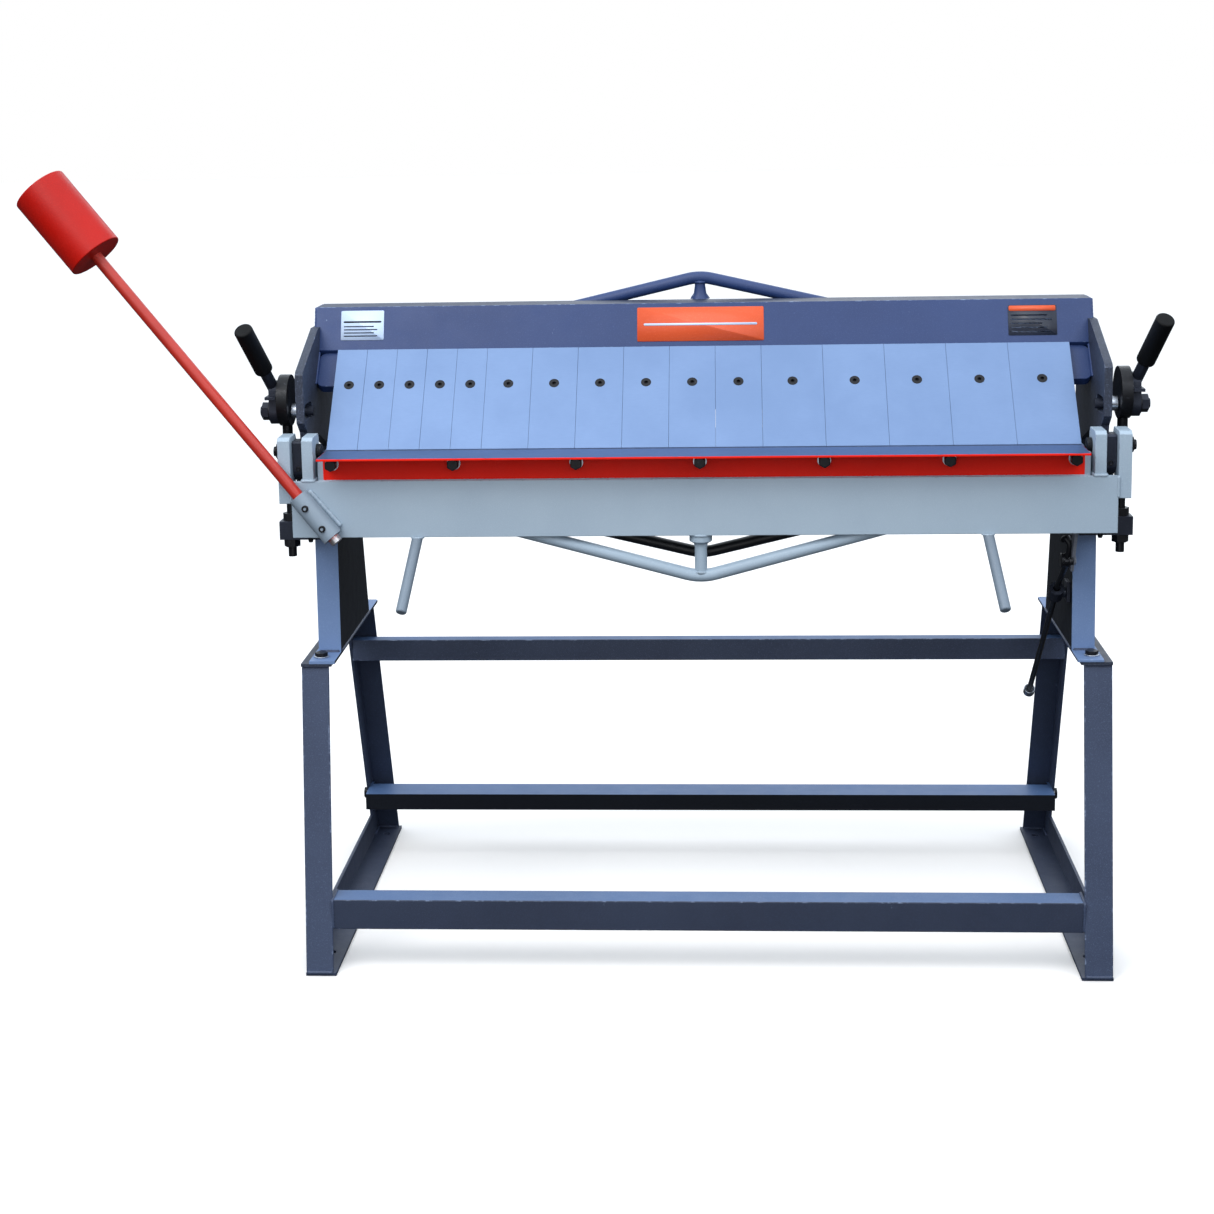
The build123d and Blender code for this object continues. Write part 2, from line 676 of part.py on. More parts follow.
def stop_rod():
    reach = stop_way()[2] + STOP_TAIL
    body = rod(stop_point(0), stop_point(reach), STOP_ROD_R)
    body += round_x(STOP_PIN, 12, STOP_X - 7, STOP_X + 7)
    collar = rod(stop_point(reach - 40), stop_point(reach - 20), COLLAR_R)
    bore = rod(stop_point(reach - 45), stop_point(reach - 15), STOP_ROD_R)
    return [body, collar - bore]


def stop_swivel():
    """Block that guides the stop rod and turns on its pin in the mount."""
    length = stop_way()[2]
    block = rod(stop_point(length - 13), stop_point(length + 13), 12.5)
    block += round_x(STOP_PIVOT, 9, STOP_X + 6, END_X - 6 - GAP)
    block += round_x(STOP_PIVOT, 5, STOP_X + 6, END_X - 1)
    return block - rod(stop_point(length - 20), stop_point(length + 20), STOP_ROD_R + RUNNING)


# ---- build --------------------------------------------------------------
def main():
    os.makedirs("parts", exist_ok=True)

    save("foot_rails", *pair(foot_rail()))
    save("front_legs", *pair(leg(FRONT_FOOT_Y, FRONT_FOOT_Y + FRONT_LEG_LEAN, -1)))
    save("back_legs", *pair(back_leg()))
    save("top_rails", *pair(top_rail()))
    save("front_rail", front_rail())
    save("rear_shelf_rail", rear_shelf_rail())
    save("rear_upper_rail", rear_upper_rail())
    right_bolts = stand_bolts()
    save("stand_bolts", *right_bolts, *[left(bolt) for bolt in right_bolts])

    end = bed_end()
    save("bed_end_left", left(end))
    save("bed_end_right", end)
    save("bed_table", bed_table())
    save("bed_truss", *bed_truss())
    save("hinge_blocks", *pair(hinge_block()))
    save("link_brackets", *pair(link_bracket()))
    save("links", *pair(link()))
    nuts = link_nuts()
    save("link_nuts", *nuts, *[left(nut) for nut in nuts])
    save("pivot_brackets", *pair(pivot_bracket()))
    save("pivot_pins", *pair(pivot_pin()))
    save("stop_mount", stop_mount())

    apron = apron_beam()
    save("apron_beam", apron)
    lugs = apron_lugs()
    save("apron_lugs", *lugs, *[left(part) for part in lugs])
    save("bending_bar", bending_bar())
    save("bending_bar_bolts", *bending_bar_bolts())
    save("apron_truss", *apron_truss())
    save("pull_handles", *pair(pull_handle(apron)))
    save("hinge_pins", *pair(hinge_pin()))
    save("arm_socket", *arm_socket())
    save("stop_bracket", stop_bracket())
    arm = counterweight_arm()
    save("counterweight_arm", arm)
    save("counterweight", counterweight(arm))

    panel = beam_panel()
    save("beam_panel", panel)
    save("beam_ends", *pair(beam_end()))
    save("finger_bar", finger_bar())
    save("beam_truss", *beam_truss(panel))
    screws = []
    x = -BED_HALF
    for number, inches in enumerate(FINGER_INCHES, start=1):
        width = inches * INCH
        save(f"finger_{number:02d}", finger(x + 0.2, x + width - 0.2))
        screws.append(finger_screw(x + width / 2))
        x += width
    save("finger_screws", *screws)

    hub = eccentric()
    handle = clamp_handle(hub)
    grip = handle_grip(handle)
    nut = shaft_nut()
    for side, place in (("right", lambda shape: shape), ("left", left)):
        save(f"eccentric_{side}", place(hub), place(nut))
        save(f"clamp_handle_{side}", place(handle))
        save(f"handle_grip_{side}", place(grip))

    save("stop_rod", *stop_rod())
    save("stop_swivel", stop_swivel())


main()
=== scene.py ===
"""Blender scene of the box-and-pan sheet metal brake."""
import json
import math
import random
from math import cos, pi, radians, sin

import bmesh
import bpy
from mathutils import Matrix, Vector

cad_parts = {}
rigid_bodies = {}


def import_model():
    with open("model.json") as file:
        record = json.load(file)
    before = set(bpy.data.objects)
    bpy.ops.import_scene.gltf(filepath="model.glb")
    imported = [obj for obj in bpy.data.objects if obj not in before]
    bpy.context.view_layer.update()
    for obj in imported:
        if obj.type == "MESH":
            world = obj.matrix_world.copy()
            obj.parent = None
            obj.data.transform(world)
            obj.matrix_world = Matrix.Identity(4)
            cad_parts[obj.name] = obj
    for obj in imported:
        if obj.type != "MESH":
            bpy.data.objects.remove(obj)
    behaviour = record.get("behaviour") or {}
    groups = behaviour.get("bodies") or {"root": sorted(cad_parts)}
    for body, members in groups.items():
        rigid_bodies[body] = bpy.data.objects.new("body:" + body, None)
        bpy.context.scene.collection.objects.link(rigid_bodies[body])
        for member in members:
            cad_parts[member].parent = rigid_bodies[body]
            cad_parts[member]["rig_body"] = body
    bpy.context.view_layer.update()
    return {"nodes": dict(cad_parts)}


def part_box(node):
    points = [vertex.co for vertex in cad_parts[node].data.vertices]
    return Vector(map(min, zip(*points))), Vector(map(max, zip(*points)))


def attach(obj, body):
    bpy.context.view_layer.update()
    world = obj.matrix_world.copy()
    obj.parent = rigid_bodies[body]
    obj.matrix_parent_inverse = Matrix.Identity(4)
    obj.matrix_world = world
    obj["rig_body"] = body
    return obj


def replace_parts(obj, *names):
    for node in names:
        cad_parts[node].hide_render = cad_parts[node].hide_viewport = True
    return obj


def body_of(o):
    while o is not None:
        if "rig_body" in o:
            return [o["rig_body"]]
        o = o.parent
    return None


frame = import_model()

MM = 0.001

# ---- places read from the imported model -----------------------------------
BED_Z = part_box("bed_table")[1].z
HINGE_Y = sum(corner.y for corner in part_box("hinge_pins")) / 2
BODY = {node: body_of(thing)[0] for node, thing in frame["nodes"].items()}


def at(x, back, up):
    """Point in the frame from millimetres: x, behind the hinge line, above the bed."""
    return Vector((x * MM, HINGE_Y + back * MM, BED_Z + up * MM))


def stand_point(x, y, z):
    """Point in the frame from millimetres in its own axes, for the stand."""
    return Vector((x, y, z)) * MM


def node_box(node):
    """Box of a node in millimetres: x, behind the hinge line, above the bed."""
    low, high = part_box(node)
    base = Vector((0, HINGE_Y, BED_Z))
    return (low - base) / MM, (high - base) / MM


# ---- materials -------------------------------------------------------------
def rgb(red, green, blue):
    """Linear colour of a 0-255 sRGB colour."""
    def linear(value):
        value /= 255
        return value / 12.92 if value <= 0.04045 else ((value + 0.055) / 1.055) ** 2.4
    return (linear(red), linear(green), linear(blue), 1.0)


# colour sockets of a Mix node: the two inputs and the output
MIX_FIRST, MIX_SECOND, MIX_RESULT = 6, 7, 2
RANGE_SOCKETS = ("From Min", "From Max", "To Min", "To Max")


class Graph:
    """Small helper round one material's node tree."""

    def __init__(self, name):
        self.material = bpy.data.materials.new(name)
        self.material.use_nodes = True
        self.tree = self.material.node_tree
        self.tree.nodes.clear()
        self.shader = self.new("ShaderNodeBsdfPrincipled")
        output = self.new("ShaderNodeOutputMaterial")
        self.join(self.shader.outputs[0], output.inputs[0])
        self.place = self.new("ShaderNodeTexCoord").outputs["Object"]

    def new(self, kind):
        return self.tree.nodes.new(kind)

    def join(self, source, target):
        self.tree.links.new(source, target)

    def noise(self, scale, detail=2.0, rough=0.5, stretch=None):
        node = self.new("ShaderNodeTexNoise")
        node.inputs["Scale"].default_value = scale
        node.inputs["Detail"].default_value = detail
        node.inputs["Roughness"].default_value = rough
        place = self.place
        if stretch:
            mapping = self.new("ShaderNodeMapping")
            mapping.inputs["Scale"].default_value = stretch
            self.join(place, mapping.inputs["Vector"])
            place = mapping.outputs[0]
        self.join(place, node.inputs["Vector"])
        return node.outputs["Fac"]

    def ramp(self, value, low, high, to_low=0.0, to_high=1.0):
        node = self.new("ShaderNodeMapRange")
        for socket, number in zip(RANGE_SOCKETS, (low, high, to_low, to_high)):
            node.inputs[socket].default_value = number
        self.join(value, node.inputs["Value"])
        return node.outputs[0]

    def mix(self, factor, first, second):
        node = self.new("ShaderNodeMix")
        node.data_type = "RGBA"
        self.join(factor, node.inputs["Factor"])
        for socket, colour in ((node.inputs[MIX_FIRST], first), (node.inputs[MIX_SECOND], second)):
            if isinstance(colour, tuple):
                socket.default_value = colour
            else:
                self.join(colour, socket)
        return node.outputs[MIX_RESULT]

    def bump(self, *layers):
        """Chain of bumps, each a (height, strength, distance in mm)."""
        normal = None
        for height, strength, distance in layers:
            node = self.new("ShaderNodeBump")
            node.inputs["Strength"].default_value = strength
            node.inputs["Distance"].default_value = distance * MM
            self.join(height, node.inputs["Height"])
            if normal:
                self.join(normal, node.inputs["Normal"])
            normal = node.outputs[0]
        self.join(normal, self.shader.inputs["Normal"])


SATIN = (0.46, 0.58)        # roughness of the powder coat
SMOOTH = (0.3, 0.4)         # roughness of the plates


def paint(name, base, shade, fleck, worn, rough=(0.36, 0.5), grain=760, texture=0.25, chips=0.7,
          gloss=0.5):
    """Powder coat: cloudy base, fine flecks, orange-peel bump and small chips.

    The edge twin is worn more.
    """
    made = []
    for suffix, low, high in (("", chips, chips + 0.04), ("_edge", 0.52, 0.66)):
        g = Graph(name + suffix)
        cloud = g.ramp(g.noise(5, 4, 0.6), 0.35, 0.65)
        colour = g.mix(cloud, base, shade)
        colour = g.mix(g.ramp(g.noise(grain, 2, 0.6), 0.56, 0.72), colour, fleck)
        scuffs = g.ramp(g.noise(70, 6, 0.7), low, high)
        colour = g.mix(scuffs, colour, worn)
        g.join(colour, g.shader.inputs["Base Color"])
        g.join(g.ramp(g.noise(30, 5, 0.65), 0.3, 0.7, *rough), g.shader.inputs["Roughness"])
        g.bump((g.noise(grain * 0.6, 2, 0.5), texture, 0.25), (g.noise(18, 2, 0.5), 0.06, 1.5))
        g.shader.inputs["Specular IOR Level"].default_value = gloss
        made.append(g.material)
    return made


def metal(name, base, shade, rough=(0.28, 0.42), metallic=1.0, stretch=(40, 1, 40), lines=60,
          brush=0.15, spots=None):
    """Machined metal with drawn grinding lines and faint stains; the edge twin is brighter."""
    made = []
    for suffix, gain in (("", 1.0), ("_edge", 1.25)):
        g = Graph(name + suffix)
        light = tuple(min(1.0, channel * gain) for channel in base[:3]) + (1.0,)
        brushed = g.noise(lines, 3, 0.6, stretch)
        colour = g.mix(g.ramp(g.noise(7, 4, 0.6), 0.35, 0.65), light, shade)
        colour = g.mix(g.ramp(brushed, 0.35, 0.75, 0.0, 0.35), colour, shade)
        if spots:
            colour = g.mix(g.ramp(g.noise(120, 5, 0.7), 0.62, 0.72), colour, spots)
        g.join(colour, g.shader.inputs["Base Color"])
        g.join(g.ramp(brushed, 0.3, 0.7, *rough), g.shader.inputs["Roughness"])
        g.bump((brushed, brush, 0.1), (g.noise(600, 2, 0.5), 0.05, 0.1))
        g.shader.inputs["Metallic"].default_value = metallic
        made.append(g.material)
    return made


SLATE = paint("slate_powder", rgb(59, 70, 95), rgb(52, 62, 86), rgb(84, 98, 130),
              rgb(122, 136, 164), rough=SATIN)
# darker copy of the slate powder coat: painted shade on the foot rails, the front rail and the beam
# panel's top faces
SLATE_SHADED_LOW = paint("slate_powder_low_painted_shade", rgb(44, 53, 74), rgb(39, 47, 67), rgb(64, 75, 102),
                  rgb(104, 118, 146), rough=SATIN)
# darker copy of the slate powder coat: painted shade on the back legs
SLATE_SHADED_MID = paint("slate_powder_mid_painted_shade", rgb(51, 61, 84), rgb(45, 54, 76), rgb(73, 86, 115),
                  rgb(112, 126, 154), rough=SATIN)
# lighter copy of the slate powder coat: painted light on the rails' top faces
SLATE_LIT_TOP = paint("slate_powder_rail_painted_highlight", rgb(74, 101, 143), rgb(68, 94, 134), rgb(90, 118, 158),
                   rgb(118, 138, 170), rough=SATIN)
# darker copy of the light enamel: painted shade on the pull handles, with the same painted blue sky
# cast
LIGHT_PULL_SHADED = paint("light_enamel_pull_painted_shade", rgb(119, 132, 146), rgb(113, 126, 140), rgb(132, 146, 158),
                   rgb(92, 103, 115), rough=(0.4, 0.52), texture=0.12, chips=0.74, gloss=0.4)
# near-black copy of the slate powder coat: painted shade on the rear shelf rail and on the bed ends'
# side faces
SLATE_DEEP_SHADE = paint("slate_powder_back_painted_shade", rgb(16, 20, 29), rgb(13, 17, 25), rgb(30, 36, 50),
                   rgb(84, 98, 126), rough=(0.58, 0.72), gloss=0.2)
SLATE_PLATE = paint("slate_powder_plate", rgb(42, 49, 66), rgb(36, 43, 59), rgb(80, 90, 114),
                    rgb(118, 130, 156), rough=SATIN, grain=520, texture=0.3)
SLATE_BED = paint("slate_powder_bed", rgb(107, 132, 174), rgb(99, 123, 164), rgb(124, 148, 186),
                  rgb(136, 153, 182), rough=SATIN)
BEAM = paint("beam_slate", rgb(32, 56, 106), rgb(28, 51, 99), rgb(48, 72, 120), rgb(126, 146, 180),
             rough=(0.42, 0.54), texture=0.18)
DARK = paint("dark_paint", rgb(20, 22, 28), rgb(16, 18, 23), rgb(34, 38, 46), rgb(70, 74, 82))
# light grey enamel of the apron; its blue tint is a painted sky cast
LIGHT_SKY_TINTED = paint("light_enamel", rgb(160, 177, 192), rgb(153, 170, 186), rgb(174, 190, 202),
              rgb(118, 130, 142), rough=(0.34, 0.46), texture=0.12, chips=0.74)
# darker copy of the light enamel: painted shade on the round arm socket, with the same painted blue sky
# cast
LIGHT_ROUND_SHADED = paint("light_enamel_round_painted_shade", rgb(132, 146, 160), rgb(126, 140, 154), rgb(146, 160, 172),
                    rgb(100, 112, 124), rough=(0.4, 0.52), texture=0.12, chips=0.74, gloss=0.4)
RED = paint("red_enamel", rgb(182, 16, 4), rgb(168, 13, 4), rgb(194, 30, 14), rgb(110, 22, 16),
            rough=(0.36, 0.5), texture=0.15, chips=0.74, gloss=0.25)
# brighter copy of the red enamel: painted light on the bending bar's flange under the ledge's shadow
RED_BAR_LIT = paint("red_bar_enamel_painted_light", rgb(238, 30, 12), rgb(224, 26, 10), rgb(242, 50, 30),
                rgb(140, 36, 28), rough=(0.5, 0.62), texture=0.15, chips=0.74, gloss=0.15)
# ground steel of the fingers, tinted blue by a painted reflection of the sky
STEEL_SKY_TINTED = metal("ground_steel", rgb(112, 136, 174), rgb(104, 128, 166), metallic=0.45,
              rough=(0.4, 0.52), stretch=(1, 14, 14), lines=90, brush=0.08)
# bare steel of the ledges, tinted blue by a painted reflection of the sky
LEDGE_SKY_TINTED = metal("ledge_steel_painted_sky_reflection", rgb(84, 108, 152), rgb(74, 98, 140), metallic=0.6, rough=(0.34, 0.5),
              stretch=(1, 30, 30), spots=rgb(62, 80, 118))
IRON = metal("dark_iron", rgb(46, 51, 66), rgb(34, 38, 50), metallic=0.5, rough=(0.36, 0.55),
             stretch=(6, 6, 6), lines=40, spots=rgb(66, 68, 76))
OXIDE = metal("black_oxide", rgb(24, 25, 31), rgb(17, 18, 22), metallic=0.5, rough=(0.3, 0.5),
              stretch=(5, 5, 5), lines=60, spots=rgb(80, 82, 90))
BRIGHT = metal("bright_steel", rgb(196, 202, 212), rgb(160, 166, 178), rough=(0.2, 0.35),
               stretch=(30, 4, 30))
RUBBER = paint("grip_rubber", rgb(5, 6, 9), rgb(4, 5, 7), rgb(10, 11, 14), rgb(24, 25, 30),
               rough=(0.5, 0.66), texture=0.2, chips=0.78, gloss=0.2)
RIBBED = metal("ribbed_iron", rgb(140, 144, 156), rgb(88, 92, 104), metallic=0.5, rough=(0.36, 0.5),
               stretch=(1, 1, 220), lines=2, brush=0.6)
SHEET_WHITE = paint("plate_white", rgb(196, 214, 240), rgb(188, 206, 234), rgb(206, 222, 244),
                    rgb(150, 165, 190), rough=SMOOTH, texture=0.05, chips=0.8)
SHEET_GREY = paint("plate_grey", rgb(126, 140, 168), rgb(118, 132, 160), rgb(140, 152, 178),
                   rgb(100, 112, 138), rough=SMOOTH, texture=0.05, chips=0.8)
SHEET_DARK = paint("plate_dark", rgb(44, 48, 62), rgb(38, 42, 55), rgb(58, 62, 78),
                   rgb(80, 86, 100), rough=SMOOTH, texture=0.05, chips=0.8)
SHEET_ORANGE = paint("plate_orange", rgb(220, 88, 46), rgb(212, 81, 41), rgb(228, 104, 64),
                     rgb(236, 150, 120), rough=(0.28, 0.4), texture=0.05, chips=0.8)

# ---- finish of the red arm ---------------------------------------------------
# direction of the arm, and the middle of its socket
ARM_WAY = Vector((-474, 88.3, 559)).normalized()
ARM_FOOT = at(-620.8, -57, -95)
ARM_TAIL = 58               # mm from the socket's middle down to the arm's lower end


def worn_arm():
    """Red rod whose tail is rubbed to bare steel."""
    made = []
    for suffix in ("", "_edge"):
        g = Graph("arm_red" + suffix)
        tail = ARM_FOOT - ARM_WAY * ARM_TAIL * MM
        along = g.new("ShaderNodeVectorMath")
        along.operation = "DOT_PRODUCT"
        g.join(g.place, along.inputs[0])
        along.inputs[1].default_value = ARM_WAY
        rough = g.new("ShaderNodeMath")
        rough.operation = "MULTIPLY_ADD"
        g.join(g.noise(90, 5, 0.7), rough.inputs[0])
        rough.inputs[1].default_value = 0.05
        g.join(along.outputs["Value"], rough.inputs[2])
        start = tail.dot(ARM_WAY)
        bare = g.ramp(rough.outputs[0], start + 0.026, start + 0.038, 1.0, 0.0)
        red = g.mix(g.ramp(g.noise(6, 4, 0.6), 0.35, 0.65), rgb(190, 48, 34), rgb(170, 40, 29))
        red = g.mix(g.ramp(g.noise(80, 6, 0.7), 0.72, 0.76), red, rgb(110, 40, 36))
        g.join(g.mix(bare, red, rgb(190, 188, 190)), g.shader.inputs["Base Color"])
        g.join(g.ramp(bare, 0, 1, 0, 0.85), g.shader.inputs["Metallic"])
        g.join(g.ramp(g.noise(40, 4, 0.6), 0.3, 0.7, 0.3, 0.46), g.shader.inputs["Roughness"])
        g.bump((g.noise(900, 2, 0.5), 0.15, 0.2))
        made.append(g.material)
    return made


ARM = worn_arm()


# ---- mesh helpers ----------------------------------------------------------
def put(name, mesh, finish, body):
    """New object with a finish and its edge twin, riding on a body."""
    piece = bpy.data.objects.new(name, mesh)
    bpy.context.scene.collection.objects.link(piece)
    mesh.materials.clear()
    for material in finish:
        mesh.materials.append(material)
    for face in mesh.polygons:
        face.use_smooth = True
        face.material_index = 0
    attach(piece, body)
    return piece


def soften(piece, width, segments=2, angle=28):
    """Rounded edges with the worn finish on them."""
    bevel = piece.modifiers.new("edges", "BEVEL")
    bevel.width = width * MM
    bevel.segments = segments
    bevel.limit_method = "ANGLE"
    bevel.angle_limit = radians(angle)
    bevel.material = 1
    bevel.use_clamp_overlap = True
    normals = piece.modifiers.new("normals", "WEIGHTED_NORMAL")
    normals.keep_sharp = True
    return piece


def refine(node, finish, width=1.0, segments=2, angle=28):
    """Clean copy of a CAD node with rounded, worn edges."""
    mesh = frame["nodes"][node].data.copy()
    shape = bmesh.new()
    shape.from_mesh(mesh)
    bmesh.ops.remove_doubles(shape, verts=shape.verts, dist=1e-6)
    bmesh.ops.dissolve_limit(shape, angle_limit=radians(0.6), verts=shape.verts, edges=shape.edges)
    shape.to_mesh(mesh)
    shape.free()
    for attribute in ("sharp_face", "sharp_edge", "custom_normal"):
        if attribute in mesh.attributes:
            mesh.attributes.remove(mesh.attributes[attribute])
    piece = put(node + "_skin", mesh, finish, BODY[node])
    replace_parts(piece, node)
    return soften(piece, width, segments, angle)


def steps(points, gap):
    """Points along a polyline, at most gap millimetres apart."""
    out = [points[0]]
    for start, end in zip(points, points[1:]):
        count = max(1, math.ceil((end - start).length / (gap * MM)))
        out += [start.lerp(end, (i + 1) / count) for i in range(count)]
    return out


def rounded(points, radius, count=6):
    """Polyline with its corners turned into arcs of a bend radius in millimetres."""
    out = [points[0]]
    for before, corner, after in zip(points, points[1:], points[2:]):
        a, b = (before - corner).normalized(), (after - corner).normalized()
        half = a.angle(b) / 2
        reach = min(radius * MM / math.tan(half), (before - corner).length * 0.49,
                    (after - corner).length * 0.49)
        middle = corner + (a + b).normalized() * reach / cos(half)
        start, end = corner + a * reach - middle, corner + b * reach - middle
        for i in range(count + 1):
            out.append(middle + start.slerp(end, i / count) * start.length)
    return out + [points[-1]]


def tube(shape, points, radii, sides=20):
    """Tube along points, with one radius or one for each point, in millimetres."""
    if not hasattr(radii, "__len__"):
        radii = [radii] * len(points)
    ways = [(b - a).normalized() for a, b in zip(points, points[1:])]
    ways = [ways[0]] + [(a + b).normalized() for a, b in zip(ways, ways[1:])] + [ways[-1]]
    side = ways[0].orthogonal().normalized()
    rings = []
    for point, way, radius in zip(points, ways, radii):
        side = (side - way * side.dot(way)).normalized()
        other = way.cross(side)
        turns = [2 * pi * i / sides for i in range(sides)]
        rings.append([shape.verts.new(point + (side * cos(turn) + other * sin(turn)) * radius * MM)
                      for turn in turns])
    for low, high in zip(rings, rings[1:]):
        for i in range(sides):
            j = (i + 1) % sides
            shape.faces.new((low[i], low[j], high[j], high[i]))
    shape.faces.new(rings[0][::-1])
    shape.faces.new(rings[-1])


def lathe(shape, base, way, profile, sides=28):
    """Turned part: profile is (distance along way, radius) in millimetres."""
    way = Vector(way).normalized()
    points = [base + way * along * MM for along, _ in profile]
    tube(shape, points, [radius for _, radius in profile], sides)


def bead(shape, points, radius, closed=False):
    """Weld bead with ripples along a polyline."""
    chance = random.Random(len(shape.verts))
    line = steps(points, 2.4)
    radii = [radius * (0.82 + 0.3 * abs(sin(i * 1.25)) + chance.uniform(-0.07, 0.07))
             for i in range(len(line))]
    if not closed:
        radii[0] = radii[-1] = radius * 0.45
    tube(shape, line, radii, 8)


def ring_points(centre, way, radius, count=28):
    """Points of a closed circle round an axis."""
    way = Vector(way).normalized()
    side = way.orthogonal().normalized()
    other = way.cross(side)
    turns = [2 * pi * i / count for i in range(count + 1)]
    return [centre + (side * cos(turn) + other * sin(turn)) * radius * MM for turn in turns]


def socket_head(shape, base, way, radius, height, key):
    """Screw head with a hexagon socket."""
    way = Vector(way).normalized()
    side = way.orthogonal().normalized()
    other = way.cross(side)
    count = 24

    def loop(along, size, hexagon=False):
        made = []
        for i in range(count):
            turn = 2 * pi * i / count
            reach = size / cos((turn + pi / 6) % (pi / 3) - pi / 6) if hexagon else size
            made.append(shape.verts.new(base + way * along * MM
                                        + (side * cos(turn) + other * sin(turn)) * reach * MM))
        return made

    loops = [loop(0, radius), loop(height * 0.8, radius), loop(height, radius * 0.9),
             loop(height, key / 2, True), loop(height * 0.2, key / 2, True)]
    for low, high in zip(loops, loops[1:]):
        for i in range(count):
            j = (i + 1) % count
            shape.faces.new((low[i], low[j], high[j], high[i]))
    shape.faces.new(loops[0][::-1])
    shape.faces.new(loops[-1])


def build(name, finish, body, make, width=0.0, segments=2, angle=28):
    """Piece whose mesh is made by a function that fills a bmesh."""
    shape = bmesh.new()
    make(shape)
    bmesh.ops.recalc_face_normals(shape, faces=shape.faces)
    mesh = bpy.data.meshes.new(name)
    shape.to_mesh(mesh)
    shape.free()
    piece = put(name, mesh, finish, body)
    return soften(piece, width, segments, angle) if width else piece


def paint_faces(piece, finish, wanted):
    """Give a third finish to the faces that a test on centre and normal picks."""
    piece.data.materials.append(finish)
    for face in piece.data.polygons:
        if wanted(face.center, face.normal):
            face.material_index = 2


# ---- the refined CAD nodes -------------------------------------------------
# finish and edge radius of the stand's angles; the darker slate copies on the low rails, back legs and
# rear shelf rail are painted shade
STAND = {
    "foot_rails": (SLATE_SHADED_LOW, 2.2), "front_legs": (SLATE, 2.2), "back_legs": (SLATE_SHADED_MID, 2.2),
    "top_rails": (SLATE_PLATE, 2.2), "front_rail": (SLATE_SHADED_LOW, 1.6),
    "rear_shelf_rail": (SLATE_DEEP_SHADE, 1.6), "rear_upper_rail": (SLATE, 1.6)}
for node, (finish, edge) in STAND.items():
    rail = refine(node, finish, edge, 3)
    # the rails' top faces get the lighter slate: painted light from above
    if node in ("front_rail", "rear_shelf_rail", "rear_upper_rail"):
        paint_faces(rail, SLATE_LIT_TOP[0], lambda centre, normal: normal.z > 0.9)
refine("stand_bolts", OXIDE, 0.7)
# the bed ends' side faces get the near-black slate: painted shade on the webs
for node in ("bed_end_left", "bed_end_right"):
    end = refine(node, SLATE_BED, 1.2, 3)
    paint_faces(end, SLATE_DEEP_SHADE[0], lambda centre, normal: abs(normal.x) > 0.9)
table = refine("bed_table", DARK, 0.8)
# the bed's top face is bare steel; its blue tint is a painted sky reflection
paint_faces(table, LEDGE_SKY_TINTED[0], lambda centre, normal: normal.z > 0.9 and centre.z > BED_Z - 0.001)
for node in ("hinge_blocks", "link_brackets", "pivot_brackets", "stop_mount"):
    refine(node, IRON, 1.2)
for node in ("links", "link_nuts", "pivot_pins", "hinge_pins"):
    refine(node, OXIDE, 0.8)
for node in ("apron_beam", "apron_lugs"):
    refine(node, LIGHT_SKY_TINTED, 1.2, 3)
# pull handles in the darker enamel copy: painted shade
refine("pull_handles", LIGHT_PULL_SHADED, 1.0)
# arm socket in the darker enamel copy: painted shade
refine("arm_socket", LIGHT_ROUND_SHADED, 1.4, 3)
refine("stop_bracket", RIBBED, 0.8)
# bending bar in the brighter red copy: painted light
bar = refine("bending_bar", RED_BAR_LIT, 0.6)
# the bar's top face is bare steel; its blue tint is a painted sky reflection
paint_faces(bar, LEDGE_SKY_TINTED[0], lambda centre, normal: normal.z > 0.9 and centre.z > BED_Z - 0.001)
refine("bending_bar_bolts", OXIDE, 1.6, 3)
refine("counterweight_arm", ARM, 0.8)
refine("counterweight", RED, 1.0)
refine("beam_ends", SLATE_PLATE, 1.2, 3)
refine("finger_bar", BEAM, 1.2, 3)
panel = refine("beam_panel", BEAM, 0.8, 3)
# the panel's top faces get the darker slate: painted shade
paint_faces(panel, SLATE_SHADED_LOW[0], lambda centre, normal: normal.z > 0.9)
# fingers in the steel whose blue tint is a painted sky reflection
for number in range(1, 17):
    refine(f"finger_{number:02d}", STEEL_SKY_TINTED, 0.35)
refine("finger_screws", OXIDE, 0.4)
for side in ("left", "right"):
    refine(f"eccentric_{side}", IRON, 1.2)
    refine(f"clamp_handle_{side}", IRON, 0.8)
    refine(f"handle_grip_{side}", RUBBER, 1.2, 3)
refine("stop_swivel", IRON, 0.8)


# ---- bent tube trusses -----------------------------------------------------
TRUSS_BEND = 90             # bend radius of the tubes


def truss(node, finish, body, radius, half, slope, apex, post, name):
    """One bent tube from end to end with a post.

    apex is its middle (back, up), and post is the post's far end (up, flare radius).
    """
    back, up = apex
    sign = 1 if post[0] > up else -1
    rise = half * math.tan(radians(slope)) * sign

    def make(shape):
        line = rounded([at(-half, back, up + rise), at(0, back, up), at(half, back, up + rise)],
                       TRUSS_BEND)
        tube(shape, line, radius)
        reach = abs(post[0] - up)
        lathe(shape, at(0, back, up), (0, 0, sign), [(0, radius * 0.86), (reach - 22, radius * 0.86),
              (reach - 9, radius * 1.05), (reach - 3, post[1] * 0.9), (reach, post[1])])
        foot = at(0, back, up + sign * radius * 0.95)
        bead(shape, ring_points(foot, (0, 0, 1), radius * 0.9), 2.6, True)
        for side in (-1, 1):
            end = at(side * (half - 1.5), back, up + rise)
            bead(shape, ring_points(end, (1, 0, 0), radius), 2.2, True)
    piece = build(name, finish, body, make, 0.5)
    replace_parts(piece, node)


